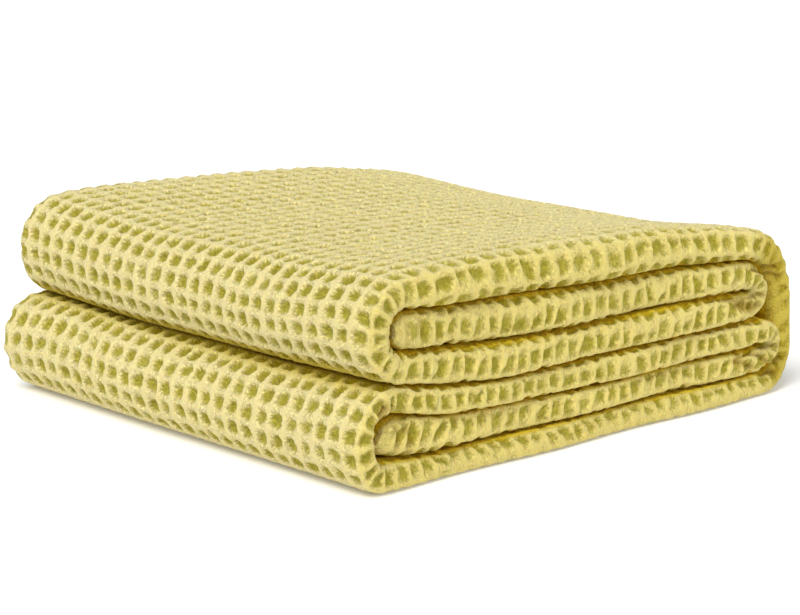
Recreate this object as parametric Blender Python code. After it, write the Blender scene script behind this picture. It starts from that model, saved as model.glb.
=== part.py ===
"""Waffle weave cotton blanket, folded into a flat pile, as one layered sheet.

Metres, +Z up. X runs along the panels of the pile and Y along its fold width, with the rounded
fold edges of the panels at the front, -Y. The pile lies on Z = 0.

The sheet is first folded in half twice across its width, which makes a strip of four layers. The
strip then winds through six panels, always turning the same way: it starts at the left of panel 2,
turns at the right into panel 3, rounds the left end into panel 1 on top, wraps the whole right side
into panel 6 at the bottom, rounds the left end into panel 4, and turns at the right into panel 5.
"""

import math
from collections import namedtuple

import bmesh
import bpy

NAME = "Waffle weave cotton blanket"
NODE = "folded_blanket"
MM = 0.001

# The cloth and its folds, in metres
FOLD_WIDTH = 0.294
CLOTH_THICK = 0.0028
PANEL_GAP = 0.0009
HEM_SETBACK = (0.005, 0.002)
EDGE_WAVE = 0.0011
EDGE_WAVE_LENGTH = 0.118

# How much lower the middle of the pile lies than its puffed fold edges, as a share of the height
SAG_LEFT = 0.024
SAG_RIGHT = 0.072
SAG_FRONT_START = 0.008
SAG_FRONT_REACH = 0.085
SAG_BACK_REACH = 0.080
SAG_BACK_SHARE = 0.6

# Heights of the seams between the panels at the front edge, in millimetres, a row for each X
Seam = namedtuple("Seam", "x under_6 six_five five_four four_three three_two two_one over_1")
SEAMS = (
    Seam(16, 0.0, 17.5, 38.0, 55.0, 69.0, 89.0, 102.5),
    Seam(33, 0.0, 15.0, 37.5, 52.0, 68.5, 88.5, 107.2),
    Seam(60, 0.0, 13.8, 32.0, 47.0, 66.0, 86.5, 108.2),
    Seam(100, 0.0, 14.0, 30.0, 43.5, 63.0, 85.0, 108.0),
    Seam(160, 0.0, 14.0, 28.6, 44.0, 61.5, 82.5, 107.5),
    Seam(220, 0.0, 14.2, 28.6, 44.5, 62.5, 82.0, 105.3),
    Seam(286, 0.0, 13.2, 28.6, 44.0, 61.2, 78.4, 96.3),
    Seam(302, 0.0, 13.6, 29.0, 44.4, 60.5, 75.0, 88.5),
)
PANEL_STATIONS = (33, 60, 100, 160, 220, 286)

# Each panel's seams, its ends in X and how far its fold edges stand back, in millimetres
Panel = namedtuple("Panel", "number below above left right front back")
PANELS = (
    Panel(1, "two_one", "over_1", 33.0, 290.0, 1.0, 2.0),
    Panel(2, "three_two", "two_one", 27.5, 286.0, 2.2, 0.5),
    Panel(3, "four_three", "three_two", 33.0, 286.0, 0.4, 3.0),
    Panel(4, "five_four", "four_three", 27.0, 297.0, 1.4, 1.0),
    Panel(5, "six_five", "five_four", 17.0, 297.0, 2.8, 2.5),
    Panel(6, "under_6", "six_five", 20.0, 302.0, 0.8, 0.0),
)

# The free ends of panels 2 and 5 close to a rounded tip
Tip = namedtuple("Tip", "from_end share")
FREE_END = (Tip(0.0, 0.66), Tip(4.0, 0.86), Tip(10.0, 1.0))

# The turns between panels: reach past the panel ends, thickness and forward bulge halfway, and steps
LOOP_UPPER = dict(reach=0.0174, middle=0.0170, bulge=0.0008, steps=8)
LOOP_LOWER = dict(reach=0.0175, middle=0.0136, bulge=0.0024, steps=8)
U_TURN_STEPS = 6
WRAP_TOP = (0.3175, 0.0565, 0.0156)
WRAP_BOTTOM = (0.3196, 0.0250, 0.0130)
CORNER_STEPS = 4

# The section across the fold width: steps round each fold and stations along each layer
OUTER_FOLD_STEPS = 8
BACK_FOLD_STEPS = 4
INNER_FOLD_STEPS = 5
LAYER_STATIONS = (0.070, 0.215)

# Where the strip's middle runs, the way its outer side faces there, and its section's sizes
Station = namedtuple("Station", "x z out_x out_z thick front back")


def smooth_step(value):
    value = min(max(value, 0.0), 1.0)
    return value * value * (3.0 - 2.0 * value)


def mix(start, end, share):
    return start + (end - start) * share


def seam_height(name, x):
    """The height of a seam at x, both in millimetres, on straight lines between the rows."""
    rows = [(row.x, getattr(row, name)) for row in SEAMS]
    for (x0, z0), (x1, z1) in zip(rows, rows[1:]):
        if x <= x1 or x1 == rows[-1][0]:
            return mix(z0, z1, (x - x0) / (x1 - x0))


def panel_station(panel, x, heading, share=1.0):
    """A station in a panel at x millimetres. The strip heads to +X or -X, with its outer side on its left."""
    low = seam_height(panel.below, x) * MM
    high = seam_height(panel.above, x) * MM
    wave = EDGE_WAVE * math.sin(2.0 * math.pi * x * MM / EDGE_WAVE_LENGTH + 1.7 * panel.number)
    return Station(
        x=x * MM,
        z=0.5 * (low + high - PANEL_GAP),
        out_x=0.0,
        out_z=float(heading),
        thick=(high - low - PANEL_GAP) * share,
        front=panel.front * MM + wave,
        back=panel.back * MM,
    )


def panel_run(number, heading, free_end=False):
    """The stations of one panel, in the order in which the strip passes them."""
    panel = PANELS[number - 1]
    places = {panel.left: 1.0, panel.right: 1.0}
    for x in PANEL_STATIONS:
        if panel.left + 3.0 < x < panel.right - 3.0:
            places[float(x)] = 1.0
    if free_end:
        places.update({panel.left + tip.from_end: tip.share for tip in FREE_END})
    stations = [panel_station(panel, x, heading, places[x]) for x in sorted(places)]
    return stations if heading > 0 else stations[::-1]


def half_turn(start, end, reach, middle, bulge, steps):
    """Stations between two panels, round a half ellipse that bulges the way the strip was heading."""
    heading = start.out_z
    half_height = 0.5 * abs(start.z - end.z)
    stations = []
    for step in range(1, steps):
        share = step / steps
        angle = math.pi * share
        out_x = math.sin(angle) / reach
        out_z = math.cos(angle) / half_height
        length = math.hypot(out_x, out_z)
        ends = mix(start.thick, end.thick, share)
        stations.append(
            Station(
                x=mix(start.x, end.x, share) + heading * reach * math.sin(angle),
                z=0.5 * (start.z + end.z) + heading * half_height * math.cos(angle),
                out_x=heading * out_x / length,
                out_z=heading * out_z / length,
                thick=mix(ends, middle, math.sin(angle)),
                front=mix(start.front, end.front, share) - bulge * math.sin(angle),
                back=mix(start.back, end.back, share),
            )
        )
    return stations


def u_turn(start, end):
    """A tight turn whose two panels touch, so its reach is half of their spacing."""
    reach = 0.5 * abs(start.z - end.z)
    return half_turn(start, end, reach, 2.0 * reach - PANEL_GAP, 0.0, U_TURN_STEPS)


def corner(start, end, flat, way):
    """Stations round a quarter turn between the upright stretch and a panel's flat end, up or down a way."""
    upright = end if flat is start else start
    stations = []
    for step in range(1, CORNER_STEPS):
        share = step / CORNER_STEPS
        angle = 0.5 * math.pi * (share if flat is start else 1.0 - share)
        stations.append(
            Station(
                x=flat.x + (upright.x - flat.x) * math.sin(angle),
                z=upright.z + (flat.z - upright.z) * math.cos(angle),
                out_x=math.sin(angle),
                out_z=way * math.cos(angle),
                thick=mix(start.thick, end.thick, share),
                front=mix(start.front, end.front, share),
                back=mix(start.back, end.back, share),
            )
        )
    return stations


def wrap(start, end):
    """The strip's way round the whole right side, from panel 1 down into panel 6."""
    uprights = []
    for (x, z, thick), share in ((WRAP_TOP, 0.35), (WRAP_BOTTOM, 0.7)):
        front = mix(start.front, end.front, share)
        back = mix(start.back, end.back, share)
        uprights.append(Station(x, z, 1.0, 0.0, thick, front, back))
    upper, lower = uprights
    return corner(start, upper, start, 1.0) + uprights + corner(lower, end, end, -1.0)


def strip_route():
    """Every station of the strip, from its free end in panel 2 to its free end in panel 5."""
    two = panel_run(2, 1, free_end=True)
    three = panel_run(3, -1)
    one = panel_run(1, 1)
    six = panel_run(6, -1)
    four = panel_run(4, 1)
    five = panel_run(5, -1, free_end=True)
    route = two + u_turn(two[-1], three[0]) + three
    route += half_turn(three[-1], one[0], **LOOP_UPPER) + one
    route += wrap(one[-1], six[0]) + six
    route += half_turn(six[-1], four[0], **LOOP_LOWER) + four
    return route + u_turn(four[-1], five[0]) + five


def arc(centre, radius, start, end, steps):
    """Points (y, h) round a fold, with the angle from +y towards +h."""
    y, h = centre
    angles = [math.radians(mix(start, end, step / steps)) for step in range(steps + 1)]
    return [(y + radius * math.cos(angle), h + radius * math.sin(angle)) for angle in angles]


def layer(level, from_front):
    """The middle points of one layer, a level h away from the strip's middle."""
    stations = LAYER_STATIONS if from_front else LAYER_STATIONS[::-1]
    return [(y, level) for y in stations]


def cloth_face(thick, inner):
    """One face of the twice folded cloth, from the outer hem to the inner hem, as points (y, h)."""
    gap = (thick - 4.0 * CLOTH_THICK) / 3.0
    half = 0.5 * thick
    depth = CLOTH_THICK if inner else 0.0
    front = (half, 0.0)
    back_radius = CLOTH_THICK + 0.5 * gap
    back = (FOLD_WIDTH - back_radius, half - back_radius)
    outer = half - depth
    middle = 0.5 * gap + depth
    points = [(FOLD_WIDTH - HEM_SETBACK[0], -outer)] + layer(-outer, False)
    points += arc(front, outer, 270.0, 90.0, OUTER_FOLD_STEPS) + layer(outer, True)
    points += arc(back, back_radius - depth, 90.0, -90.0, BACK_FOLD_STEPS) + layer(middle, False)
    points += arc(front, middle, 90.0, 270.0, INNER_FOLD_STEPS) + layer(-middle, True)
    return points + [(FOLD_WIDTH - HEM_SETBACK[1], -middle)]


def settled(x, y, z):
    """The height z lowered where the pile's middle has settled between its puffed edges."""
    share = mix(SAG_LEFT, SAG_RIGHT, smooth_step(x / FOLD_WIDTH))
    front = smooth_step((y - SAG_FRONT_START) / SAG_FRONT_REACH)
    back = mix(SAG_BACK_SHARE, 1.0, smooth_step((FOLD_WIDTH - y) / SAG_BACK_REACH))
    return z * (1.0 - share * front * back)


def placed(station, point):
    """A section's point (y, h) in the pile."""
    y, h = point
    width = FOLD_WIDTH - station.front - station.back
    x = station.x + station.out_x * h
    y = station.front + y * width / FOLD_WIDTH
    return x, y, settled(x, y, station.z + station.out_z * h)


def sweep_strip(route):
    """The closed solid of the layered strip: a ring for each station, and a closed end at each hem."""
    mesh = bmesh.new()
    rings = []
    for station in route:
        faces = cloth_face(station.thick, False), cloth_face(station.thick, True)
        ring = faces[0] + faces[1][::-1]
        rings.append([mesh.verts.new(placed(station, point)) for point in ring])
    count = len(rings[0])
    for ring, following in zip(rings, rings[1:]):
        for i in range(count):
            j = (i + 1) % count
            mesh.faces.new((ring[i], ring[j], following[j], following[i]))
    for ring in (rings[0], rings[-1]):
        for i in range(count // 2 - 1):
            mesh.faces.new((ring[i], ring[i + 1], ring[count - 2 - i], ring[count - 1 - i]))
    bmesh.ops.recalc_face_normals(mesh, faces=mesh.faces)
    return mesh


def centre_on_floor(mesh):
    """Moves the pile so that its box is centred on X = Y = 0."""
    xs = [vert.co.x for vert in mesh.verts]
    ys = [vert.co.y for vert in mesh.verts]
    shift = (-0.5 * (min(xs) + max(xs)), -0.5 * (min(ys) + max(ys)), 0.0)
    bmesh.ops.translate(mesh, verts=mesh.verts, vec=shift)


def cotton():
    material = bpy.data.materials.new("yellow waffle cotton")
    material.use_nodes = True
    shader = material.node_tree.nodes["Principled BSDF"]
    shader.inputs["Base Color"].default_value = (0.66, 0.58, 0.13, 1.0)
    shader.inputs["Roughness"].default_value = 0.92
    shader.inputs["Metallic"].default_value = 0.0
    return material


def make_blanket(collection):
    solid = sweep_strip(strip_route())
    centre_on_floor(solid)
    data = bpy.data.meshes.new(NODE)
    solid.to_mesh(data)
    solid.free()
    data.shade_smooth()
    data.set_sharp_from_angle(angle=math.radians(50.0))
    data.materials.append(cotton())
    blanket = bpy.data.objects.new(NODE, data)
    collection.objects.link(blanket)


def main():
    for obj in list(bpy.data.objects):
        bpy.data.objects.remove(obj, do_unlink=True)
    collection = bpy.data.collections.new(NAME)
    bpy.context.scene.collection.children.link(collection)
    make_blanket(collection)


main()
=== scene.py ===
"""How the folded waffle blanket looks: its cloth with the woven relief, and a pale studio round it.

The cloth is one sheet, folded across into a strip of four layers, which winds through six panels.
Each piece here is a stretch of that strip: a closed shell whose faces run from hem to hem across
the folds. The tables of seams, panels and creases are in millimetres, and all else is in metres.
"""

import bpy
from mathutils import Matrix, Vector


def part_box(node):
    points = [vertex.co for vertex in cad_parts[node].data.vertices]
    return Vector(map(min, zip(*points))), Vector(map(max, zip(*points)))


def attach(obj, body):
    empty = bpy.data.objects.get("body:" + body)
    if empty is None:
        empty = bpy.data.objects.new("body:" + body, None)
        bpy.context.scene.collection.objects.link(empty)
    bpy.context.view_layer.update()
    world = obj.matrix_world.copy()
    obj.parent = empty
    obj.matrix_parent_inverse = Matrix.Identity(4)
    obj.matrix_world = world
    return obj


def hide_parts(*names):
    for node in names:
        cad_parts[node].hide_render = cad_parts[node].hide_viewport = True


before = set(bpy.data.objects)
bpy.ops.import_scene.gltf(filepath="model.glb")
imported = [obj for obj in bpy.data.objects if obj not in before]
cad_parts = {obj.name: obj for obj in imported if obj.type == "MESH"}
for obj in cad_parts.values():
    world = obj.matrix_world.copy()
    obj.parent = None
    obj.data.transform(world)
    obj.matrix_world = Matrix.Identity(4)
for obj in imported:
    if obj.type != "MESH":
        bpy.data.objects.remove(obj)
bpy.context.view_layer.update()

import math
from collections import namedtuple

import bpy
import numpy as np
from mathutils import Vector

MM = 0.001

# The cloth and its folds. Where a panel is thin, so is its cloth, so that this many cloths still fit.
FOLD_WIDTH = 0.294
LAYERS = 4
CLOTH_THICK = 0.0028
CLOTHS_IN_PANEL = 4.6
PANEL_GAP = 0.0008
HEM_SETBACK = (0.005, 0.002)
CELL = 0.0108

# The fold edges wave a little, each panel's turned on from the last one's by an angle
EDGE_WAVE = 0.0011
EDGE_WAVE_LENGTH = 0.118
EDGE_WAVE_TURN = 1.7

# Where the folded blanket's low corner lies in X and Y, in the coordinates of the sizes here
PILE_LOW_CORNER = (-0.0008, -0.0008)

# How much lower than its front fold edges the pile lies, as a share of the height: in the middle and at
# the back edge, each at the left and at the right. The middle's share sets in from a start behind the
# front edges over a reach, and gives way to the back edge's over another.
SAG_LEFT = 0.024
SAG_RIGHT = 0.066
SAG_BACK_LEFT = -0.026
SAG_BACK_RIGHT = 0.030
SAG_FRONT_START = 0.008
SAG_FRONT_REACH = 0.085
SAG_BACK_REACH = 0.110

# Heights of the seams between the panels at the front edge, a row for each X. Between the rows a height
# is the mean of those at the easing steps, so that the corners are rounded.
Seam = namedtuple("Seam", "x under_6 six_five five_four four_three three_two two_one over_1")
SEAMS = (
    Seam(16, 0.0, 17.5, 41.5, 56.0, 69.0, 89.0, 102.5),
    Seam(33, 0.0, 15.0, 37.5, 52.0, 68.5, 88.5, 107.2),
    Seam(60, 0.0, 13.8, 32.0, 47.0, 66.0, 86.5, 108.2),
    Seam(100, 0.0, 14.0, 30.0, 43.5, 63.0, 85.0, 108.0),
    Seam(160, 0.0, 14.0, 28.6, 44.0, 61.5, 82.5, 107.5),
    Seam(220, 0.0, 14.2, 28.6, 44.5, 62.5, 82.0, 105.3),
    Seam(286, 0.0, 13.2, 28.6, 44.0, 61.2, 78.4, 96.3),
    Seam(302, 0.0, 13.6, 29.0, 44.4, 60.5, 75.0, 88.5),
)
SEAM_EASE = (-7.0, -2.5, 2.5, 7.0)

# Each panel's seams, its ends in X, and how far its fold edges stand back
Panel = namedtuple("Panel", "number below above left right front back")
PANELS = (
    Panel(1, "two_one", "over_1", 33.0, 284.0, 1.0, 2.0),
    Panel(2, "three_two", "two_one", 27.5, 289.0, 2.2, 0.5),
    Panel(3, "four_three", "three_two", 33.0, 289.0, 0.4, 3.0),
    Panel(4, "five_four", "four_three", 27.0, 302.0, 1.4, 1.0),
    Panel(5, "six_five", "five_four", 19.0, 302.0, 2.8, 2.5),
    Panel(6, "under_6", "six_five", 20.0, 302.0, 0.8, 0.0),
)
# Panel 1 is where the strip, past its left loop, first has its middle higher than this
PANEL_1_HEIGHT = 0.09

# How the weave lies on a stretch of the strip. Drift shifts its rows outwards round the fold, in cells,
# and lean slants its ridges, as a slope. Gather squeezes more cells along the fold, and stretch draws the
# cells out round it. Pressed is 1 where the outer side lies against the next panel, and calm is how far
# the relief is drawn flat.
Weave = namedtuple("Weave", "drift lean gather stretch pressed calm")
PANEL_WEAVES = {
    1: Weave(-0.12, 0.30, 0.91, 1.08, 0.0, 0.0),
    2: Weave(0.05, 0.05, 1.14, 1.25, 1.0, 0.0),
    3: Weave(-0.10, -0.15, 1.14, 1.20, 1.0, 0.0),
    4: Weave(0.0, 0.10, 1.10, 1.10, 1.0, 0.0),
    5: Weave(0.10, -0.25, 1.06, 1.15, 1.0, 0.0),
    6: Weave(0.30, 0.40, 1.15, 1.05, 0.0, 0.1),
}
LOOP_WEAVE = Weave(-0.18, 0.0, 1.0, 1.0, 0.0, 0.0)
TURN_WEAVE = Weave(0.0, 0.0, 1.0, 1.0, 1.0, 0.7)
WRAP_WEAVE = Weave(0.10, 0.0, 1.0, 1.0, 0.0, 0.7)
# A turn is fully pressed and calm once its swing, from 0 at its ends to 1 halfway, is past this
WEAVE_FULL_SWING = 0.4

# A free end of the strip is rounded down, over its length, to a share of the panel's thickness, and its
# front stands back. Its relief is drawn flat up to the calm's first reach and not past the second, both
# in such lengths.
FREE_END_LENGTH = 0.011
FREE_END_SHARE = 0.52
FREE_END_SETBACK = 0.004
FREE_END_CALM = 0.8
FREE_END_CALM_REACH = (0.6, 1.6)
# The free end in panel 5 leans, too
LAST_END_TILT = 0.60
LAST_END_TILT_REACH = 0.030

# The two loops at the left: how far they reach past the panels' ends, and halfway round them, how thick
# they are and how far their front bulges
LOOP_UPPER = dict(reach=0.0174, middle=0.0170, bulge=0.0008)
LOOP_LOWER = dict(reach=0.0175, middle=0.0136, bulge=0.0024)

# The wrap round the right side goes down from one of these upright places to the other. Their share is
# how far they are on the way from panel 1 to panel 6. The wrap's front stands back, and the higher the
# rise is, the nearer to its two ends it does so fully.
Upright = namedtuple("Upright", "x z thick share")
WRAP_UPRIGHTS = (Upright(0.3190, 0.0520, 0.0200, 0.35), Upright(0.3218, 0.0225, 0.0170, 0.7))
WRAP_SETBACK = 0.0045
WRAP_SETBACK_RISE = 1.3

# How many places a half turn, a quarter turn and the wrap's upright side are worked out at. The route is
# then brought to even steps, and eased over a few of them.
HALF_TURN_PLACES = 40
CORNER_PLACES = 20
SIDE_PLACES = 30
ROUTE_STEP = 0.001
ROUTE_EASE = 3

# The stretches of the strip that are made as one piece each, from and to a ridge of the weave, by its
# count in cells from the top left, and how many steps a cell has on their fine lines. On the coarse lines
# it has the same few in every piece.
Run = namedtuple("Run", "name start end whole_top per_cell")
RUNS = (
    Run("panels_two_three", -math.inf, -9.5, False, 10),
    Run("upper_loop_panel_one", -9.5, 27.5, True, 8),
    Run("wrap_panel_six", 27.5, 59.5, True, 7),
    Run("lower_loop", 59.5, 74.5, True, 9),
    Run("panels_four_five", 74.5, math.inf, False, 10),
)
COARSE_PER_CELL = 2

# Round a front fold: how square the outline is, from 1 for a half circle down, and how far from the
# fold's middle its ridges slant
LIP_SQUARE = 0.76
LEAN_REACH = 0.016

# The gap between two panels, by the share of the way from the fold's middle to its flat faces: where its
# shade starts, from where to where the relief is tucked away, and how much of it that takes. On the flat
# faces all this fades out over a share of them at the back. Between a panel's own layers it is as dark
# as the layer shade everywhere.
GAP_START = 0.48
TUCK_REACH = (0.42, 0.77)
TUCK_CALM = 0.45
GAP_BACK_SHARE = 0.05
LAYER_SHADE = 0.7

# On the flat faces of a calm stretch only a share of the calm draws the relief flat. On the floor it is
# nearly flat: not above the first height, and fully below the second, on faces that look down so far.
FACE_CALM_SHARE = 0.1
FLOOR_CALM = 0.85
FLOOR_HEIGHTS = (0.0112, 0.0042)
FLOOR_FACING = -0.5

# On the open flat top the pits are deeper by a share, and so is the lining under them: not on faces that
# look up less than the first of these, and fully past the second. It fades out from a share of the way
# to the back edge.
TOP_DEEPER = 0.40
TOP_FACING = (0.5, 0.9)
TOP_FADE_START = 0.9

# How far the wrap's front is painted with a gap's shade and golden glow and with a crease's shade, for
# the shade that it lies in
WRAP_GAP_SHADE = 0.70
WRAP_SHADE = 0.22
# A crease has its full painted shade where it is this deep
CREASE_SHADE = 0.004

# The nook between the two left loops: its height, how far from it the shade reaches, where it ends in X,
# and how strong it is
NOOK_HEIGHT = 0.0545
NOOK_REACH = 0.0085
NOOK_RIGHT = 0.045
NOOK_DEPTH = 0.60


def mix(start, end, share):
    return start + (end - start) * share


def smooth_step(value):
    value = np.clip(value, 0.0, 1.0)
    return value * value * (3.0 - 2.0 * value)


def smooth(value, start, end):
    """0 up to start and 1 from end on, smoothly between. The start may be the greater of the two."""
    return smooth_step((value - start) / (end - start))


# ---- the strip's way through the pile

# Places of the strip's middle, with its thickness there and how far its front and back edges stand in
Route = namedtuple("Route", ("x", "z", "thick", "front", "back") + Weave._fields)


def joined(parts):
    return Route(*(np.concatenate(columns) for columns in zip(*parts)))


def first(route):
    return Route(*(column[0] for column in route))


def last(route):
    return Route(*(column[-1] for column in route))


def led(start, end, share):
    """What the route has at a share of the way from one place to another."""
    return Route(*(mix(a, b, share) for a, b in zip(start, end)))


def shares_between(count):
    """This many even shares of a way, without its two ends."""
    return np.linspace(0.0, 1.0, count + 2)[1:-1]


def seam_height(name, x):
    """The height of a seam at x, both in millimetres, eased over the corners between the rows."""
    rows_x = [row.x for row in SEAMS]
    rows_z = [getattr(row, name) for row in SEAMS]
    return sum(np.interp(x + shift, rows_x, rows_z) for shift in SEAM_EASE) / len(SEAM_EASE)


def panel_run(number, heading, free_end=False):
    """The strip's way along one panel, in the order in which it passes."""
    panel = PANELS[number - 1]
    x = np.arange(panel.left, panel.right, ROUTE_STEP / MM)[::heading]
    low = seam_height(panel.below, x) * MM
    high = seam_height(panel.above, x) * MM
    wave = EDGE_WAVE * np.sin(2.0 * np.pi * x * MM / EDGE_WAVE_LENGTH + EDGE_WAVE_TURN * number)
    weave = {name: np.full_like(x, value) for name, value in PANEL_WEAVES[number]._asdict().items()}
    share = np.ones_like(x)
    if free_end:
        from_end = (x - panel.left) * MM / FREE_END_LENGTH
        share = mix(FREE_END_SHARE, 1.0, np.sqrt(1.0 - np.clip(1.0 - from_end, 0.0, 1.0) ** 2))
        weave["calm"] = FREE_END_CALM * (1.0 - smooth(from_end, *FREE_END_CALM_REACH))
    return Route(
        x=x * MM,
        z=0.5 * (low + high - PANEL_GAP),
        thick=(high - low - PANEL_GAP) * share,
        front=panel.front * MM + wave + FREE_END_SETBACK * (1.0 - share),
        back=np.full_like(x, panel.back * MM),
        **weave,
    )


def half_wave(count):
    """A rise from 0 to 1 and back over this many places."""
    return np.sin(np.pi * shares_between(count))


def with_weave(route, weave):
    """The route with its weave led over to another in its middle and back."""
    swing = half_wave(len(route.x))
    columns = {}
    for name, value in weave._asdict().items():
        quick = name in ("pressed", "calm")
        share = smooth(swing, 0.0, WEAVE_FULL_SWING) if quick else np.sqrt(swing)
        columns[name] = mix(getattr(route, name), value, share)
    return route._replace(**columns)


def half_turn(start, end, heading, reach, middle, bulge):
    """The way between two panels, round a half ellipse that bulges the way the strip was heading."""
    share = shares_between(HALF_TURN_PLACES)
    swing = np.sin(np.pi * share)
    half_height = 0.5 * (start.z - end.z)
    way = led(start, end, share)
    return way._replace(
        x=way.x + heading * reach * swing,
        z=0.5 * (start.z + end.z) + half_height * np.cos(np.pi * share),
        thick=mix(way.thick, middle, swing),
        front=way.front - bulge * swing,
    )


def u_turn(start, end):
    """A tight turn whose two panels touch, so its reach is half of their spacing."""
    reach = 0.5 * abs(start.z - end.z)
    return with_weave(half_turn(start, end, 1.0, reach, 2.0 * reach - PANEL_GAP, 0.0), TURN_WEAVE)


def corner(start, end, rising):
    """A quarter turn from one place to the next. It leaves upright if rising, and flat otherwise."""
    share = shares_between(CORNER_PLACES)
    along = np.sin(0.5 * np.pi * share)
    left_over = np.cos(0.5 * np.pi * share)
    x_share, z_share = (1.0 - left_over, along) if rising else (along, 1.0 - left_over)
    return led(start, end, share)._replace(x=mix(start.x, end.x, x_share), z=mix(start.z, end.z, z_share))


def wrap(start, end):
    """The strip's way round the whole right side, from panel 1 down into panel 6."""
    upper, lower = (
        led(start, end, place.share)._replace(x=place.x, z=place.z, thick=place.thick)
        for place in WRAP_UPRIGHTS
    )
    side = led(upper, lower, np.linspace(0.0, 1.0, SIDE_PLACES))
    way = joined([corner(start, upper, False), side, corner(lower, end, True)])
    way = with_weave(way, WRAP_WEAVE)
    setback = WRAP_SETBACK * smooth_step(WRAP_SETBACK_RISE * half_wave(len(way.x)))
    return way._replace(front=way.front + setback)


def strip_route():
    """The whole strip, from its free end in panel 2 to its free end in panel 5."""
    two = panel_run(2, 1, free_end=True)
    three = panel_run(3, -1)
    one = panel_run(1, 1)
    six = panel_run(6, -1)
    four = panel_run(4, 1)
    five = panel_run(5, -1, free_end=True)
    upper = with_weave(half_turn(last(three), first(one), -1.0, **LOOP_UPPER), LOOP_WEAVE)
    lower = with_weave(half_turn(last(six), first(four), -1.0, **LOOP_LOWER), LOOP_WEAVE)
    parts = [two, u_turn(last(two), first(three)), three, upper, one, wrap(last(one), first(six))]
    parts += [six, lower, four, u_turn(last(four), first(five)), five]
    return joined(parts)


def eased(column):
    """A column of the route with its small corners rounded off."""
    reach = 2 * ROUTE_EASE
    weights = np.exp(-0.5 * (np.arange(-reach, reach + 1) / ROUTE_EASE) ** 2)
    padded = np.pad(column, reach, mode="reflect", reflect_type="odd")
    return np.convolve(padded, weights / weights.sum(), mode="valid")


def even_route(route):
    """The route at even steps, eased."""
    steps = np.hypot(np.diff(route.x), np.diff(route.z))
    length = np.concatenate([[0.0], np.cumsum(steps)])
    places = np.linspace(0.0, length[-1], round(length[-1] / ROUTE_STEP))
    return Route(*(eased(np.interp(places, length, column)) for column in route))


Strip = namedtuple("Strip", ("along", "woven", "x", "z", "out_x", "out_z") + Route._fields[2:])


def make_strip():
    """The strip with its outer side's direction, and its lengths in cells, there and by the weave."""
    route = even_route(strip_route())
    slope_x, slope_z = np.gradient(route.x), np.gradient(route.z)
    length = np.hypot(slope_x, slope_z)
    out_x, out_z = -slope_z / length, slope_x / length
    from_end = ROUTE_STEP * np.arange(len(out_x))[::-1]
    out_x = out_x - LAST_END_TILT * smooth(from_end, LAST_END_TILT_REACH, 0.0)
    side_x = route.x + 0.5 * route.thick * out_x
    side_z = route.z + 0.5 * route.thick * out_z
    steps = np.hypot(np.diff(side_x), np.diff(side_z))
    along = np.concatenate([[0.0], np.cumsum(steps)]) / CELL
    woven = np.concatenate([[0.0], np.cumsum(steps * route.gather[1:])]) / CELL
    top_left = np.argmax((route.x > PANELS[0].left * MM) & (route.z > PANEL_1_HEIGHT))
    along = along - along[top_left]
    woven = woven - woven[top_left]
    return Strip(along, woven, route.x, route.z, out_x, out_z, *route[2:])


def strip_at(strip, along):
    """The strip's columns at these lengths along it."""
    columns = [np.interp(along, strip.along, column) for column in strip[1:]]
    at = Strip(along, *columns)
    size = np.hypot(at.out_x, at.out_z)
    return at._replace(out_x=at.out_x / size, out_z=at.out_z / size)


# ---- the section across the fold width

# The section's parts follow each other from hem to hem: under, lip and over are the outer layers and the
# front fold between them, back is the fold at the back edge, and upper, bend and lower are the layers
# turned in between.
TURNED_IN = ("upper", "bend", "lower")
# A place on the section: its Y, its height over the strip's middle, the way that the cloth's face looks,
# how far it is across the cloth from the front fold's middle, and how thick the cloth is
Section = namedtuple("Section", "y h out_y out_h across cloth")


def lip_quarter(thick):
    """The way round a front fold from its middle to a flat face."""
    return 0.25 * np.pi * thick


def section_at(part, share, thick):
    """A place on the cloth's face across the folds, at a share of the way along a part of the section."""
    cloth = np.minimum(CLOTH_THICK, thick / CLOTHS_IN_PANEL)
    gap = (thick - LAYERS * cloth) / (LAYERS - 1)
    half = 0.5 * thick
    back_radius = cloth + 0.5 * gap
    flat = FOLD_WIDTH - back_radius - half
    quarter = lip_quarter(thick)
    turned = quarter + flat + np.pi * back_radius
    if part == "under":
        y = mix(FOLD_WIDTH - HEM_SETBACK[0], half, share)
        return Section(y, -half, 0.0, -1.0, half - y - quarter, cloth)
    if part == "lip":
        angle = np.pi * (1.5 - share)
        out_y, out_h = np.cos(angle), np.sin(angle)
        y = half - half * np.abs(out_y) ** LIP_SQUARE
        h = half * np.sign(out_h) * np.abs(out_h) ** LIP_SQUARE
        return Section(y, h, out_y, out_h, quarter * (2.0 * share - 1.0), cloth)
    if part == "over":
        y = half + flat * share
        return Section(y, half, 0.0, 1.0, quarter + flat * share, cloth)
    if part == "back":
        angle = np.pi * (0.5 - share)
        out_y, out_h = np.cos(angle), np.sin(angle)
        y = FOLD_WIDTH - back_radius + back_radius * out_y
        h = half - back_radius + back_radius * out_h
        return Section(y, h, out_y, out_h, quarter + flat + np.pi * share * back_radius, cloth)
    if part == "upper":
        y = FOLD_WIDTH - back_radius - flat * share
        return Section(y, 0.5 * gap, 0.0, -1.0, turned + flat * share, cloth)
    if part == "bend":
        angle = np.pi * (0.5 + share)
        out_y, out_h = -np.cos(angle), -np.sin(angle)
        across = turned + flat + np.pi * share * 0.5 * gap
        return Section(half - 0.5 * gap * out_y, -0.5 * gap * out_h, out_y, out_h, across, cloth)
    y = mix(half, FOLD_WIDTH - HEM_SETBACK[1], share)
    return Section(y, -0.5 * gap, 0.0, 1.0, turned + flat + y - half + np.pi * 0.5 * gap, cloth)


# How deep the lining, the inner face of a piece's shell, lies under its outer face, in cloth thicknesses
FACE_DEPTH = 1.36
TURNED_DEPTH = 0.80

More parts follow.
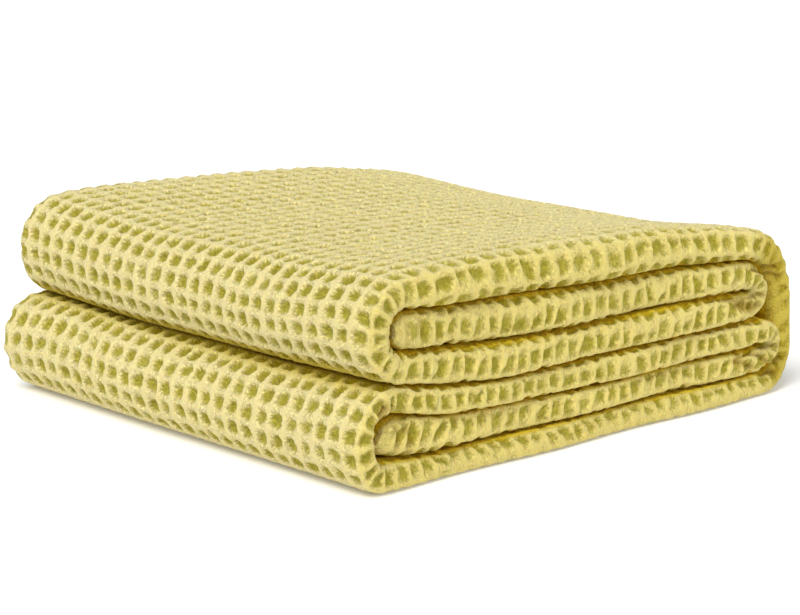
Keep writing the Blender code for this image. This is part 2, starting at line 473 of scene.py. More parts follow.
# A band of lines along a part of the section, from one share of the way along it to another, and how
# strong their relief and the fold edge's pull are at the band's two ends. Lines with relief are fine.
Band = namedtuple("Band", "part low high lines relief relief_end edge edge_end", defaults=(0.0,) * 4)
HEM_BANDS = (
    Band("under", 0.00, 0.075, 10, 0.4, 1.0),
    Band("under", 0.075, 0.93, 12),
    Band("under", 0.93, 1.00, 15, 0.0, 1.0, 0.0, 1.0),
)
WHOLE_TOP_BANDS = (
    Band("lip", 0.00, 0.62, 16, 1.0, 1.0, 1.0, 1.0),
    Band("lip", 0.62, 1.00, 12, 1.0, 1.0, 1.0, 0.2),
    Band("over", 0.00, 0.08, 18, 1.0, 1.0, 0.2, 0.0),
    Band("over", 0.08, 0.60, 108, 1.0, 1.0),
    Band("over", 0.60, 0.96, 60, 1.0, 1.0),
    Band("over", 0.96, 1.00, 8, 1.0, 0.5),
)
PRESSED_TOP_BANDS = (
    Band("lip", 0.00, 1.00, 30, 1.0, 1.0, 1.0, 1.0),
    Band("over", 0.00, 0.08, 16, 1.0, 0.0, 1.0, 0.0),
    Band("over", 0.08, 0.93, 12),
    Band("over", 0.93, 1.00, 10, 0.0, 1.0),
)
TURNED_BANDS = (
    Band("back", 0.00, 1.00, 7, 0.5, 0.3),
    Band("upper", 0.00, 0.04, 5, 0.3, 0.0),
    Band("upper", 0.04, 1.00, 12),
    Band("bend", 0.00, 1.00, 5),
    Band("lower", 0.00, 0.96, 12),
    Band("lower", 0.96, 1.00, 6, 0.0, 0.4),
    Band("lower", 1.00, 1.00, 1, 0.4, 0.4),
)
LINING_BANDS = (
    Band("under", 0.00, 1.00, 14),
    Band("lip", 0.00, 1.00, 10),
    Band("over", 0.00, 0.97, 14),
    Band("over", 0.97, 1.00, 2),
    Band("back", 0.00, 1.00, 5),
    Band("upper", 0.00, 1.00, 14),
    Band("bend", 0.00, 1.00, 7),
    Band("lower", 0.00, 1.00, 14),
    Band("lower", 1.00, 1.00, 1),
)

Line = namedtuple("Line", "part share relief edge fine")


def lines_of(bands):
    """The bands' lines in order, the last of each band a step short of the next band."""
    lines = []
    for band in bands:
        fine = band.relief > 0.0 or band.relief_end > 0.0
        for share in np.arange(band.lines) / band.lines:
            place = mix(band.low, band.high, share)
            relief = mix(band.relief, band.relief_end, share)
            edge = mix(band.edge, band.edge_end, smooth_step(share))
            lines.append(Line(band.part, place, relief, edge, fine))
    return lines


# ---- creases placed one by one

# How wide and how deep a crease is, and the points of the pile that it runs through, in millimetres. A
# ridge has a depth below 0. A crease reaches further from front to back than the other ways.
CREASE_REACH = (1.0, 0.3, 1.0)
Crease = namedtuple("Crease", "width depth points")
CREASES = (
    # The lower loop bulges at the back
    Crease(22, -3.0, ((-2, 190, 30), (-2, 294, 30))),
    Crease(14, -2.5, ((6, 215, 47), (6, 294, 47))),
    # The turn from panel 2 to panel 3: its seam runs on to the rim over a hollow
    Crease(1.6, 2.8, ((262, 0, 61), (273, 0, 59.4), (282, 0, 58.8), (290, 0, 58.6), (299, 0, 57.6))),
    Crease(1.5, 1.8, ((276, 0, 57.3), (283, 0, 55.7), (292, 0, 53.3), (296, 0, 51.4))),
    Crease(2.6, 3.0, ((278, 0, 54.5), (285, 0, 52), (292, 0, 50.3))),
    # The turn from panel 4 to panel 5: the seam, a line to the rim, a wedge and a fold below it
    Crease(1.6, 2.8, ((279, 0, 25.8), (288, 0, 26.9), (293, 0, 29.2))),
    Crease(1.5, 2.8, ((292, 0, 29.3), (299, 0, 28.6), (306, 0, 28), (312, 0, 27.7))),
    Crease(2.4, 2.8, ((277, 0, 24.2), (284, 0, 21), (291, 0, 15.7))),
    Crease(1.5, 3.2, ((290, 0, 26.5), (297, 0, 24.1), (303, 0, 19.4), (307, 0, 14.9))),
    # The wrap's inner corners
    Crease(1.8, 3.2, ((290, 3, 73.8), (298, 3, 71.2), (305, 3, 71.1), (310, 3, 71.6))),
    Crease(1.6, 2.8, ((300, 4, 67.6), (307, 4, 67), (315, 4, 65.6))),
    Crease(1.6, 2.8, ((312, 4, 18.8), (319, 4, 18.2))),
    Crease(1.8, 3.6, ((301, 3, 13.6), (308, 3, 13.9), (314, 3, 10.4))),
    # The free end in panel 5: a hollow beside the loop, a smooth first lobe, then two puckers
    Crease(2.2, 3.6, ((20.5, 0, 42), (17, 0, 38), (14.5, 0, 33.5), (13.5, 0, 30))),
    Crease(1.6, 3.0, ((26, 0, 39.5), (28.4, 0, 33.8), (29.9, 0, 27.8), (28.4, 0, 22))),
    Crease(2.2, 2.4, ((33, 0, 35), (36.5, 0, 28.7), (38, 0, 24.3), (36.5, 0, 21))),
    # The free end in panel 2
    Crease(1.6, 1.5, ((34, 0, 84), (34.5, 0, 71))),
    Crease(2.0, 2.4, ((44, 0, 83), (45, 0, 74))),
)
# The wrap's back top corner has slumped as a whole, so all of its layers move the same way
SLUMP = Crease(30, 5.0, ((322, 255, 90), (322, 300, 90)))
SLUMP_WAY = (-0.7, 0.0, -0.7)


def creased(points, creases):
    """How far the creases push the cloth in at these points."""
    push = np.zeros(len(points))
    for crease in creases:
        corners = np.array(crease.points) * MM
        gap = np.full(len(points), np.inf)
        for start, way in zip(corners, np.diff(corners, axis=0)):
            share = np.clip((points - start) @ way / (way @ way), 0.0, 1.0)
            away = (points - start - share[:, None] * way) * CREASE_REACH
            gap = np.minimum(gap, np.linalg.norm(away, axis=1))
        push += crease.depth * MM * np.exp(-((gap / (crease.width * MM)) ** 2))
    return push


# ---- the cloth's places, and what the relief and the shades need to know of them


def place_and_outward(section, at):
    """Places on the smooth cloth in the pile, and the way that they face."""
    y = at.front + section.y * (FOLD_WIDTH - at.front - at.back) / FOLD_WIDTH
    place = np.stack([at.x + at.out_x * section.h, y, at.z + at.out_z * section.h], axis=1)
    out_y = np.full_like(y, section.out_y)
    return place, np.stack([at.out_x * section.out_h, out_y, at.out_z * section.out_h], axis=1)


def settled(x, y, z):
    """The height z lowered where the pile's middle has settled between its puffed edges."""
    rightward = smooth(x, 0.0, FOLD_WIDTH)
    middle = mix(SAG_LEFT, SAG_RIGHT, rightward) * smooth_step((y - SAG_FRONT_START) / SAG_FRONT_REACH)
    back = mix(SAG_BACK_LEFT, SAG_BACK_RIGHT, rightward)
    return z * (1.0 - mix(back, middle, smooth_step((FOLD_WIDTH - y) / SAG_BACK_REACH)))


def weave_place(section, at):
    """Where a place on the cloth is on the weave, in metres across and along."""
    quarter = lip_quarter(at.thick)
    on_fold = np.clip(section.across, -quarter, quarter)
    across = section.across + on_fold * (1.0 / at.stretch - 1.0) + at.drift * CELL
    slant = section.across * np.exp(-((section.across / LEAN_REACH) ** 2))
    along = at.woven * CELL + at.lean * slant
    return np.stack([across, along, np.zeros_like(along)], axis=1)


def deeper_on_top(line, at):
    """How many times deeper the pits are on the open flat top, and the lining under them."""
    if line.part != "over":
        return np.ones_like(at.along)
    open_top = smooth(at.out_z, *TOP_FACING) * (1.0 - at.pressed) * (1.0 - line.edge)
    return 1.0 + TOP_DEEPER * open_top * smooth(line.share, 1.0, TOP_FADE_START)


def between_panels(line, section, at):
    """How deep a place lies between panels, from 0 in the open to 1, which sets its painted shade and
    golden glow, and how far it is tucked in.
    """
    if line.part == "back":
        return np.zeros_like(at.along), 0.0
    if line.part in TURNED_IN:
        return np.full_like(at.along, LAYER_SHADE), 0.0
    round_fold = np.abs(section.across) / lip_quarter(at.thick)
    side = np.where(section.across < 0.0, 1.0, at.pressed)
    if line.part != "lip":
        from_back = 1.0 - line.share if line.part == "over" else line.share
        side = side * smooth(from_back, 0.0, GAP_BACK_SHARE)
    return side * smooth(round_fold, GAP_START, 1.0), side * smooth(round_fold, *TUCK_REACH)


def relief_left(line, at, height, facing_up, tucked):
    """The share of the relief that is left where the cloth is drawn flat, tucked in or on the floor."""
    resting = smooth(height, *FLOOR_HEIGHTS) * smooth(facing_up, 0.0, FLOOR_FACING)
    drawn = at.calm * mix(FACE_CALM_SHARE, 1.0, line.edge)
    return (1.0 - FLOOR_CALM * resting) * (1.0 - TUCK_CALM * tucked) * (1.0 - drawn)


def nook_shade(line, place):
    """The shade in the nook between the two left loops, from 0 outside it."""
    near = smooth(np.abs(place[:, 2] - NOOK_HEIGHT), NOOK_REACH, 0.0)
    return NOOK_DEPTH * near * (place[:, 0] < NOOK_RIGHT) * (1.0 - line.edge)


# ---- the cloth's mesh


def zipper(a, b):
    """The triangles between two rising rows of places: how far each has got, and if a's step is next."""
    i = j = 0
    while i < len(a) - 1 or j < len(b) - 1:
        next_a = a[i + 1] if i < len(a) - 1 else math.inf
        next_b = b[j + 1] if j < len(b) - 1 else math.inf
        yield i, j, next_a <= next_b
        if next_a <= next_b:
            i += 1
        else:
            j += 1


Row = namedtuple("Row", "first last along")
# Deep and fold carry painted shade, and deep a gap's painted golden glow, into the cotton's colour
COLUMNS = ("place", "outward", "sheet", "relief", "edge", "deep", "fold")


class Cloth:
    """The vertices, faces and attributes of one piece as they are gathered."""

    def __init__(self, strip, pile_shift):
        self.strip = strip
        self.pile_shift = pile_shift
        self.columns = {name: [] for name in COLUMNS}
        self.faces = []
        self.count = 0

    def line(self, line, along, lining=False):
        """Adds one line's vertices, at these lengths along the strip, on the outer face or the lining."""
        at = strip_at(self.strip, along)
        section = section_at(line.part, line.share, at.thick)
        smooth_place, outward = place_and_outward(section, at)
        push = creased(smooth_place, () if line.part in TURNED_IN else CREASES)
        deeper = deeper_on_top(line, at)
        depth = FACE_DEPTH if line.part in ("under", "lip", "over") else TURNED_DEPTH
        sunk = push + depth * section.cloth * deeper if lining else push
        slump = creased(smooth_place, (SLUMP,))[:, None] * SLUMP_WAY
        place = smooth_place - outward * sunk[:, None] + slump
        place[:, 2] = settled(*place.T)
        place[:, :2] += self.pile_shift
        # Deep paints shade between panels, in the nook and on the wrap's front, with a gap's golden glow;
        # fold paints a crease's shade and the wrap front's
        deep, tucked = between_panels(line, section, at)
        deep = np.maximum(deep, nook_shade(line, smooth_place))
        wrap_front_shade = at.calm * line.edge * (1.0 - at.pressed)
        relief = line.relief * relief_left(line, at, place[:, 2], outward[:, 2], tucked) * deeper
        values = (
            place,
            outward,
            weave_place(section, at),
            np.zeros_like(along) if lining else relief,
            np.full_like(along, line.edge),
            np.maximum(deep, WRAP_GAP_SHADE * wrap_front_shade),
            np.clip(push / CREASE_SHADE + WRAP_SHADE * wrap_front_shade, 0.0, 1.0),
        )
        for name, column in zip(COLUMNS, values):
            self.columns[name].append(column)
        row = Row(self.count, self.count + len(along) - 1, along)
        self.count += len(along)
        return row

    def bridge(self, a, b):
        """Faces between two lines, as quads where their steps agree and as triangles where they don't."""
        if len(a.along) == len(b.along):
            for i in range(len(a.along) - 1):
                self.faces.append((a.first + i, b.first + i, b.first + i + 1, a.first + i + 1))
            return
        for i, j, on_a in zipper(a.along, b.along):
            third = a.first + i + 1 if on_a else b.first + j + 1
            self.faces.append((a.first + i, b.first + j, third))

    def cap(self, outer, lining, at_end):
        """Closes the shell at one end of the strip, between its outer face and its lining."""
        a, b = ([row.last if at_end else row.first for row in rows] for rows in (outer, lining))
        across = np.concatenate(self.columns["sheet"])[:, 0]
        for i, j, on_a in zipper(across[a], across[b]):
            face = (a[i], a[i + 1], b[j]) if on_a else (a[i], b[j + 1], b[j])
            self.faces.append(face[::-1] if at_end else face)

    def to_object(self, name):
        data = bpy.data.meshes.new(name)
        data.from_pydata(np.concatenate(self.columns["place"]).tolist(), [], self.faces)
        for column in COLUMNS[1:]:
            values = np.concatenate(self.columns[column]).astype(np.float32)
            kind, field = ("FLOAT_VECTOR", "vector") if values.ndim == 2 else ("FLOAT", "value")
            data.attributes.new(column, kind, "POINT").data.foreach_set(field, values.ravel())
        return new_object(name, data)


def new_object(name, data):
    obj = bpy.data.objects.new(name, data)
    bpy.context.scene.collection.objects.link(obj)
    return obj


def steps_between(start, end, per_cell):
    return np.linspace(start, end, max(2, round((end - start) * per_cell)) + 1)


def make_run(run, strip, pile_shift):
    """One stretch of the strip as a closed shell, before its relief, and its length in metres."""
    start, end = np.interp((run.start, run.end), strip.woven, strip.along)
    fine = steps_between(start, end, run.per_cell)
    coarse = steps_between(start, end, COARSE_PER_CELL)
    cloth = Cloth(strip, pile_shift)
    top_bands = WHOLE_TOP_BANDS if run.whole_top else PRESSED_TOP_BANDS
    face_lines = lines_of(HEM_BANDS + top_bands + TURNED_BANDS)
    outer = [cloth.line(line, fine if line.fine else coarse) for line in face_lines]
    lining = [cloth.line(line, coarse, lining=True) for line in lines_of(LINING_BANDS)]
    ring = outer + lining[::-1] + outer[:1]
    for a, b in zip(ring, ring[1:]):
        cloth.bridge(a, b)
    cloth.cap(outer, lining, False)
    cloth.cap(outer, lining, True)
    return cloth.to_object(run.name), (end - start) * CELL


# ---- the woven relief, as Geometry Nodes

# The named inputs of the relief. A pit has its full depth up to its start and none from its end on, as
# shares of the way from its middle to the edge of its cell.
RELIEF = {
    "Cell Size": CELL,
    "Relief Depth": 0.0034,
    "Pit Start": 0.20,
    "Pit End": 0.93,
    "Unevenness": 0.22,
    "Lumps": 0.0013,
    "Seed": 7.0,
}

# The lattice of cells wanders slowly, and each ridge sways: the scale of each noise, per cell, and its
# size as a share of the unevenness, which the sway has for the flat and for a front fold
WANDER_SCALE = 0.13
WANDER = 4.0
SWAY_SCALE = 0.9
SWAY = (1.9, 5.1)

# A pit's outline, on the flat and round a front fold: the power that makes it square, and how much the
# ways across and along count. Then how much later it ends round a fold, and how ragged yarn makes it.
PIT_POWER = (2.7, 3.6)
PIT_ACROSS = (1.0, 1.05)
PIT_ALONG = (0.95, 1.0)
FOLD_PIT_END = 0.05
RAGGED_SCALE = 3.1
RAGGED_ROUGHNESS = 0.6
RAGGEDNESS = 0.72

# A pit's depth on the flat and round a front fold, and a single pit's own, from the shallowest to the
# deepest, as shares of the relief's depth
PIT_DEPTH = (1.0, 0.90)
OWN_DEPTH = (0.60, 1.05)

# Where the smooth top of a ridge starts and is whole, on the way from a pit's middle to its cell's edge,
# and how lumpy the yarn is on it and off the ridges
SMOOTH_RIDGE = (0.55, 0.85)
LUMPINESS = (0.25, 1.0)

# A pit has its full painted shade once the relief is as strong as the second of these
PIT_SHADE_RELIEF = (0.0, 0.5)

# Faces that meet at more than this angle, in degrees, have a sharp edge
SHARP_DEGREES = 70.0


class NodeMaker:
    """Adds and joins the nodes of one tree."""

    def __init__(self, tree):
        self.tree = tree

    def feed(self, socket, value):
        """Gives a socket another node's output or a plain value."""
        if isinstance(value, bpy.types.NodeSocket):
            self.tree.links.new(value, socket)
        else:
            socket.default_value = value

    def node(self, kind, inputs=(), **settings):
        made = self.tree.nodes.new(kind)
        for name, value in settings.items():
            setattr(made, name, value)
        for name, value in dict(inputs).items():
            self.feed(made.inputs[name], value)
        return made

    def math(self, operation, *values):
        return self.node("ShaderNodeMath", dict(enumerate(values)), operation=operation).outputs[0]

    def vector(self, operation, *values):
        inputs = dict(enumerate(values))
        return self.node("ShaderNodeVectorMath", inputs, operation=operation).outputs[0]

    def scaled(self, vector, factor):
        inputs = {0: vector, "Scale": factor}
        return self.node("ShaderNodeVectorMath", inputs, operation="SCALE").outputs[0]

    def split(self, vector):
        return self.node("ShaderNodeSeparateXYZ", {0: vector}).outputs

    def product(self, *values):
        made = values[0]
        for value in values[1:]:
            made = self.math("MULTIPLY", made, value)
        return made

    def between(self, share, start, end):
        """The start where the share is 0 and the end where it is 1."""
        return self.math("MULTIPLY_ADD", share, end - start, start)

    def smooth(self, value, start, end):
        """0 up to start and 1 from end on, smoothly between. The start may be the greater of the two."""
        inputs = {"Value": value, "From Min": start, "From Max": end}
        return self.node("ShaderNodeMapRange", inputs, interpolation_type="SMOOTHSTEP").outputs[0]

    def mixed_color(self, factor, start, end):
        made = self.node("ShaderNodeMix", {"Factor": factor}, data_type="RGBA", blend_type="MIX")
        for name, value in (("A", start), ("B", end)):
            self.feed(next(s for s in made.inputs if s.name == name and s.type == "RGBA"), value)
        return next(s for s in made.outputs if s.type == "RGBA")

    def noise(self, vector, scale, detail=1.0, seed=0.0, roughness=0.5):
        """A noise vector about 0, with most of it within 0.3."""
        inputs = {"Vector": vector, "W": seed, "Scale": scale, "Detail": detail, "Roughness": roughness}
        color = self.node("ShaderNodeTexNoise", inputs, noise_dimensions="4D").outputs["Color"]
        return self.vector("SUBTRACT", color, (0.5, 0.5, 0.5))

    def attribute(self, name, kind="FLOAT"):
        made = self.node("GeometryNodeInputNamedAttribute", {"Name": name}, data_type=kind)
        return made.outputs["Attribute"]

    def stored(self, geometry, name, value):
        inputs = {"Geometry": geometry, "Name": name, "Value": value}
        return self.node("GeometryNodeStoreNamedAttribute", inputs, data_type="FLOAT").outputs[0]


def relief_tree():
    """Geometry Nodes that press the waffle's pits into the face, by the place on the sheet."""
    tree = bpy.data.node_groups.new("waffle relief", "GeometryNodeTree")
    tree.interface.new_socket("Geometry", in_out="INPUT", socket_type="NodeSocketGeometry")
    for name, value in RELIEF.items():
        socket = tree.interface.new_socket(name, in_out="INPUT", socket_type="NodeSocketFloat")
        socket.default_value = value
    tree.interface.new_socket("Material", in_out="INPUT", socket_type="NodeSocketMaterial")
    tree.interface.new_socket("Geometry", in_out="OUTPUT", socket_type="NodeSocketGeometry")
    make = NodeMaker(tree)
    given = make.node("NodeGroupInput").outputs
    relief = make.attribute("relief")
    edge = make.attribute("edge")

    # Where on the lattice of cells, with its slow wander and each ridge's own sway
    sheet = make.attribute("sheet", "FLOAT_VECTOR")
    cells = make.scaled(sheet, make.math("DIVIDE", 1.0, given["Cell Size"]))
    wander_size = make.product(given["Unevenness"], WANDER)
    wander = make.scaled(make.noise(cells, WANDER_SCALE, 0.0, given["Seed"]), wander_size)
    sway_size = make.product(given["Unevenness"], make.between(edge, *SWAY))
    sway = make.scaled(make.noise(cells, SWAY_SCALE, 1.0, given["Seed"]), sway_size)
    lattice = make.vector("ADD", make.vector("ADD", cells, wander), sway)
    centre = make.vector("FLOOR", make.vector("ADD", lattice, (0.5, 0.5, 0.5)))
    off_centre = make.split(make.vector("SUBTRACT", lattice, centre))
    inputs = {"Vector": centre, "W": given["Seed"]}
    own = make.node("ShaderNodeTexWhiteNoise", inputs, noise_dimensions="4D").outputs["Value"]

    # The pit: a rounded square on the flat, and a squarer window round a fold, ragged with yarn
    power = make.between(edge, *PIT_POWER)
    across = make.product(make.math("ABSOLUTE", off_centre[0]), 2.0)
    along = make.product(make.math("ABSOLUTE", off_centre[1]), 2.0)
    side_across = make.math("POWER", make.product(across, make.between(edge, *PIT_ACROSS)), power)
    side_along = make.math("POWER", make.product(along, make.between(edge, *PIT_ALONG)), power)
    sides = make.math("ADD", side_across, side_along)
    reach = make.math("POWER", sides, make.math("DIVIDE", 1.0, power))
    ragged = make.split(make.noise(cells, RAGGED_SCALE, 1.0, given["Seed"], RAGGED_ROUGHNESS))
    reach = make.math("MULTIPLY_ADD", ragged[0], RAGGEDNESS, reach)
    end = make.math("MULTIPLY_ADD", edge, FOLD_PIT_END, given["Pit End"])
    pit = make.math("SUBTRACT", 1.0, make.smooth(reach, given["Pit Start"], end))
    own_depth = make.product(make.between(own, *OWN_DEPTH), make.between(edge, *PIT_DEPTH))
    pit = make.product(pit, own_depth)
    sunk = make.product(pit, relief)

    # Curled yarn between the smooth ridges. On the flat they run along the strip, and at a fold round it.
    ridges = {"A": make.smooth(across, *SMOOTH_RIDGE), "B": make.smooth(along, *SMOOTH_RIDGE)}
    ridge = make.node("ShaderNodeMix", {"Factor": edge, **ridges}).outputs[0]
    rough = make.math("SUBTRACT", 1.0, ridge)
    lump = make.product(ragged[1], given["Lumps"], relief, make.between(rough, *LUMPINESS))
    push = make.math("MULTIPLY_ADD", sunk, make.product(given["Relief Depth"], -1.0), lump)
    moved = make.scaled(make.attribute("outward", "FLOAT_VECTOR"), push)
    inputs = {"Geometry": given["Geometry"], "Offset": moved}
    shaped = make.node("GeometryNodeSetPosition", inputs).outputs[0]

    # What the cotton's colour needs to know: how deep a pit is, for its painted shade, and where the yarn
    # is rough
    pit_shade = make.product(pit, make.smooth(relief, *PIT_SHADE_RELIEF), make.math("MAXIMUM", relief, 1.0))
    shaped = make.stored(make.stored(shaped, "pit", pit_shade), "rough", rough)
    plain = make.node("GeometryNodeRealizeInstances", {"Geometry": shaped}).outputs[0]
    inputs = {"Geometry": plain, "Material": given["Material"]}
    dressed = make.node("GeometryNodeSetMaterial", inputs).outputs[0]
    make.node("NodeGroupOutput", {"Geometry": dressed})
    return tree


def add_relief(obj, tree, material):
    """Presses the relief into a piece and leaves it a plain mesh."""
    modifier = obj.modifiers.new("waffle relief", "NODES")
    modifier.node_group = tree
    given = {**RELIEF, "Material": material}
    for item in tree.interface.items_tree:
        if item.in_out == "INPUT" and item.name in given:
            modifier[item.identifier] = given[item.name]
    graph = bpy.context.evaluated_depsgraph_get()
    made = bpy.data.meshes.new_from_object(obj.evaluated_get(graph), depsgraph=graph)
    obj.modifiers.remove(modifier)
    obj.data = made
    made.name = obj.name
    finish_mesh(made)


def finish_mesh(data):
    """A UV map of the sheet in metres, and smooth faces with sharp cut edges."""
    sheet = np.zeros(3 * len(data.vertices), np.float32)
    data.attributes["sheet"].data.foreach_get("vector", sheet)
    corners = np.zeros(len(data.loops), np.int32)
    data.loops.foreach_get("vertex_index", corners)
    uv = data.uv_layers.new(name="sheet_map")
    uv.data.foreach_set("uv", sheet.reshape(-1, 3)[corners, :2].ravel())
    data.shade_smooth()
    data.set_sharp_from_angle(angle=math.radians(SHARP_DEGREES))
    for name in ("outward", "sheet", "relief"):
        data.attributes.remove(data.attributes[name])


# ---- the cotton

# The yarn's colours on a ridge and in a pit, the pit's darker olive being painted shade: on the flat,
# round a fold, and with painted shade near a gap. A gap has a painted golden glow of bounced light at its
# bottom, and a crease's bottom has a brown painted shade.
# On the flat the ridge is a paler cream than round a fold, partly a painted sheen of grazing light
RIDGE_COLOR = (0.755, 0.65, 0.30, 1.0)
PLEAT_COLOR = (0.74, 0.62, 0.20, 1.0)
PIT_SHADE_COLOR = (0.42, 0.36, 0.045, 1.0)
WINDOW_SHADE_COLOR = (0.43, 0.365, 0.040, 1.0)
SHADED_RIDGE_COLOR = (0.62, 0.50, 0.08, 1.0)
SHADED_PIT_COLOR = (0.36, 0.28, 0.004, 1.0)
GAP_GLOW_COLOR = (0.82, 0.57, 0.004, 1.0)
CREASE_SHADE_COLOR = (0.30, 0.18, 0.002, 1.0)

# From which depth of a pit to which the colour goes from a ridge's to a pit's painted shade, in the open
# and shaded, and from which depth in a gap to which it gets painted shade and then a painted golden glow.
# The curls make a pit's rim ragged.
PIT_TONE = (0.03, 0.70)
SHADED_PIT_TONE = (0.0, 0.6)
SHADED_DEPTHS = (0.0, 0.5)
GAP_GLOW_DEPTHS = (0.4, 1.0)
PIT_RAGGEDNESS = -0.35

# The noise of the yarn's curls and the waves of its threads, in millimetres, how the threads wobble, and
# how high both are. The curls' height is for calm and for wild yarn.
CURLS = {"Scale": 0.62, "Detail": 2.5, "Roughness": 0.65}
THREADS = {"Scale": 0.33, "Distortion": 0.5}
WOBBLE_SCALE = 0.4
WOBBLE = 1.8
THREAD_HEIGHT = 0.12
CURL_HEIGHT = (0.5, 2.3)

# The yarn is wild on a pit's rim, at this share of the depth: not past the first reach from it, and fully
# within the second. Between the ridges it is nearly as wild.
RIM_DEPTH = 0.35
RIM_REACH = (0.45, 0.05)
WILD_BETWEEN = 0.8

# A curl that stands out has a painted highlight and one that lies low a painted shade: from which height
# to which. The highlights are weaker round a front fold. How much they lift the colour, and the colour's
# share without the low curls' painted shade and with it.
HIGHLIT_CURL = (0.02, 0.18)
SHADED_CURL = (0.0, -0.15)
HIGHLIGHT_ON_FOLD = (1.0, 0.6)
HIGHLIGHT_LIFT = 0.46
CURL_SHADE_LIFT = (0.98, 0.76)

COTTON = {
    "Roughness": 0.92,
    "Subsurface Weight": 0.35,
    "Subsurface Radius": (1.0, 0.65, 0.12),
    "Subsurface Scale": 0.004,
    "Specular IOR Level": 0.1,
    "Sheen Weight": 0.06,
    "Sheen Roughness": 0.5,
}
YARN_BUMP = {"Strength": 0.9, "Distance": 0.0014}


def yarn_group():
    """Shader nodes for cotton yarn: its colour, with painted shade and golden glow by how deep it lies
    and painted highlights on its curls, and how high its curls stand.
    """
    tree = bpy.data.node_groups.new("waffle yarn", "ShaderNodeTree")
    tree.interface.new_socket("Place", in_out="INPUT", socket_type="NodeSocketVector")
    for name in ("Pit", "Rough", "Deep", "Fold", "Edge"):
        tree.interface.new_socket(name, in_out="INPUT", socket_type="NodeSocketFloat")
    tree.interface.new_socket("Color", in_out="OUTPUT", socket_type="NodeSocketColor")
    tree.interface.new_socket("Height", in_out="OUTPUT", socket_type="NodeSocketFloat")
    make = NodeMaker(tree)
    given = make.node("NodeGroupInput").outputs
    place = make.scaled(given["Place"], 1.0 / MM)
    curls = make.node("ShaderNodeTexNoise", {"Vector": place, **CURLS}).outputs["Fac"]
    wobbling = make.vector("ADD", place, make.scaled(make.noise(place, WOBBLE_SCALE), WOBBLE))
    inputs = {"Vector": wobbling, **THREADS}
    threads = make.node("ShaderNodeTexWave", inputs, bands_direction="Y").outputs["Fac"]
    curl = make.math("SUBTRACT", curls, 0.5)
    from_rim = make.math("ABSOLUTE", make.math("SUBTRACT", given["Pit"], RIM_DEPTH))
    on_rim = make.smooth(from_rim, *RIM_REACH)
    wild = make.math("MAXIMUM", on_rim, make.product(given["Rough"], WILD_BETWEEN))
    curl_height = make.product(curl, make.between(wild, *CURL_HEIGHT))
    height = make.math("MULTIPLY_ADD", threads, THREAD_HEIGHT, curl_height)

    # The pits are painted olive for their shade, with ragged edges, and a few curls of yarn stand in them
    # with painted highlights
    ragged_pit = make.math("MULTIPLY_ADD", curl, PIT_RAGGEDNESS, given["Pit"])
    bottom = make.mixed_color(given["Edge"], PIT_SHADE_COLOR, WINDOW_SHADE_COLOR)
    ridge = make.mixed_color(given["Edge"], RIDGE_COLOR, PLEAT_COLOR)
    tone = make.mixed_color(make.smooth(ragged_pit, *PIT_TONE), ridge, bottom)
    shaded_share = make.smooth(ragged_pit, *SHADED_PIT_TONE)
    shaded = make.mixed_color(shaded_share, SHADED_RIDGE_COLOR, SHADED_PIT_COLOR)
    # Painted shade near a gap, then a gap's painted golden glow, then a crease's painted shade
    color = make.mixed_color(make.smooth(given["Deep"], *SHADED_DEPTHS), tone, shaded)
    color = make.mixed_color(make.smooth(given["Deep"], *GAP_GLOW_DEPTHS), color, GAP_GLOW_COLOR)
    color = make.mixed_color(given["Fold"], color, CREASE_SHADE_COLOR)
    # Painted highlights on the curls that stand out, and painted shade on those that lie low
    bright = make.product(make.smooth(curl, *HIGHLIT_CURL), wild)
    bright = make.product(bright, make.between(given["Edge"], *HIGHLIGHT_ON_FOLD))
    curl_shade = make.product(make.smooth(curl, *SHADED_CURL), wild)
    lift = make.math("MULTIPLY_ADD", bright, HIGHLIGHT_LIFT, make.between(curl_shade, *CURL_SHADE_LIFT))
    make.node("NodeGroupOutput", {"Color": make.scaled(color, lift), "Height": height})
    return tree


def new_material(name, finish):
    """A material whose Principled shader has this finish, and that shader."""
    material = bpy.data.materials.new(name)
    material.use_nodes = True
    shader = material.node_tree.nodes["Principled BSDF"]
    for socket, value in finish.items():
        shader.inputs[socket].default_value = value
    return material, shader


def cotton():
    material, shader = new_material("yellow waffle cotton", COTTON)
    make = NodeMaker(material.node_tree)
    inputs = {"Place": make.node("ShaderNodeUVMap", uv_map="sheet_map").outputs["UV"]}
    # Pit, deep and fold bring painted shade, and deep a gap's painted golden glow
    for name in ("pit", "rough", "deep", "fold", "edge"):
        inputs[name.title()] = make.node("ShaderNodeAttribute", attribute_name=name).outputs["Fac"]
    yarn = make.node("ShaderNodeGroup", inputs, node_tree=yarn_group()).outputs
    bump = make.node("ShaderNodeBump", {"Height": yarn["Height"], **YARN_BUMP})
    make.feed(shader.inputs["Normal"], bump.outputs["Normal"])
    make.feed(shader.inputs["Base Color"], yarn["Color"])
    return material


# ---- the studio

PALE_FLOOR = {
    "Base Color": (0.93, 0.93, 0.93, 1.0),
    "Roughness": 1.0,
    "Specular IOR Level": 0.0,
    "Emission Color": (1.0, 1.0, 1.0, 1.0),
    "Emission Strength": 0.14,
}
# Half of the floor's side, and how bright the white all round is
FLOOR_HALF = 6.0
SURROUND_STRENGTH = 0.36

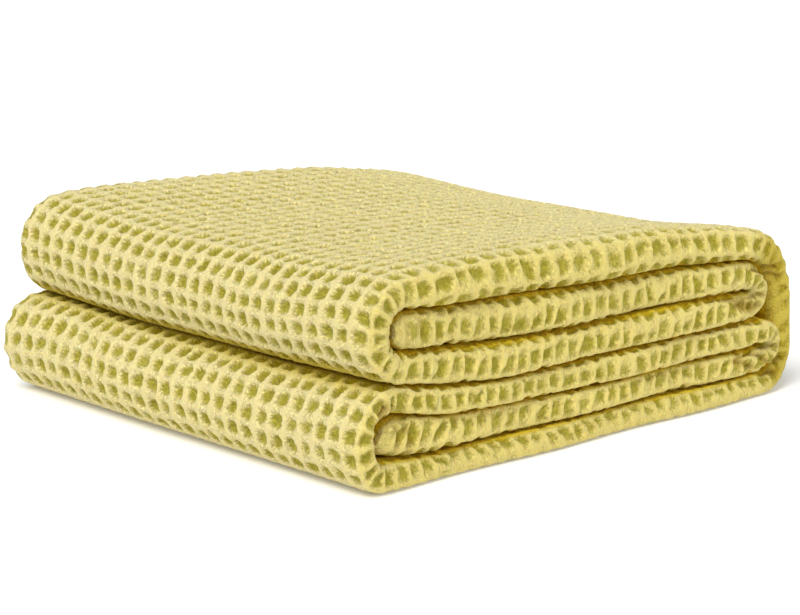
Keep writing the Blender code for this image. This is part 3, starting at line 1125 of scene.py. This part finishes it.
# Broad soft lights, far away, so that the floor is lit evenly. The spread is in degrees.
Light = namedtuple("Light", "name place spread strength")
LIGHTS = (
    Light("key_light", (-1.34, -0.45, 1.80), 38.0, 2.62),
    Light("fill_light", (0.3, -2.2, 0.9), 50.0, 0.92),
)

# The camera's turn is in degrees, and its lens and sensor are in millimetres
CAMERA_PLACE = (-0.9447, -1.0380, 0.363)
CAMERA_TURN = (77.31, 0.0, -42.25)
CAMERA_LENS = 117.0
CAMERA_SENSOR = 36.0


def make_floor():
    data = bpy.data.meshes.new("studio_floor")
    corners = [(x * FLOOR_HALF, y * FLOOR_HALF, 0.0) for x, y in ((-1, -1), (1, -1), (1, 1), (-1, 1))]
    data.from_pydata(corners, [], [(0, 1, 2, 3)])
    data.materials.append(new_material("pale floor", PALE_FLOOR)[0])
    new_object("studio_floor", data)


def make_lights():
    for light in LIGHTS:
        data = bpy.data.lights.new(light.name, "SUN")
        data.angle = math.radians(light.spread)
        data.energy = light.strength
        obj = new_object(light.name, data)
        obj.location = light.place
        obj.rotation_euler = (-Vector(light.place)).to_track_quat("-Z", "Y").to_euler()
    world = bpy.data.worlds.new("pale studio")
    world.use_nodes = True
    surround = world.node_tree.nodes["Background"].inputs
    surround["Color"].default_value = (1.0, 1.0, 1.0, 1.0)
    surround["Strength"].default_value = SURROUND_STRENGTH
    bpy.context.scene.world = world


def make_camera():
    data = bpy.data.cameras.new("camera")
    data.lens = CAMERA_LENS
    data.sensor_width = CAMERA_SENSOR
    camera = new_object("camera", data)
    camera.location = CAMERA_PLACE
    camera.rotation_euler = [math.radians(turn) for turn in CAMERA_TURN]
    bpy.context.scene.camera = camera


def main():
    strip = make_strip()
    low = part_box("folded_blanket")[0]
    pile_shift = np.array((low.x, low.y)) - np.array(PILE_LOW_CORNER)
    tree = relief_tree()
    material = cotton()
    for run in RUNS:
        piece, length = make_run(run, strip, pile_shift)
        add_relief(piece, tree, material)
        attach(piece, "root")
        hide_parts("folded_blanket")
    make_floor()
    make_lights()
    make_camera()
    bpy.context.scene.view_settings.view_transform = "Standard"


main()
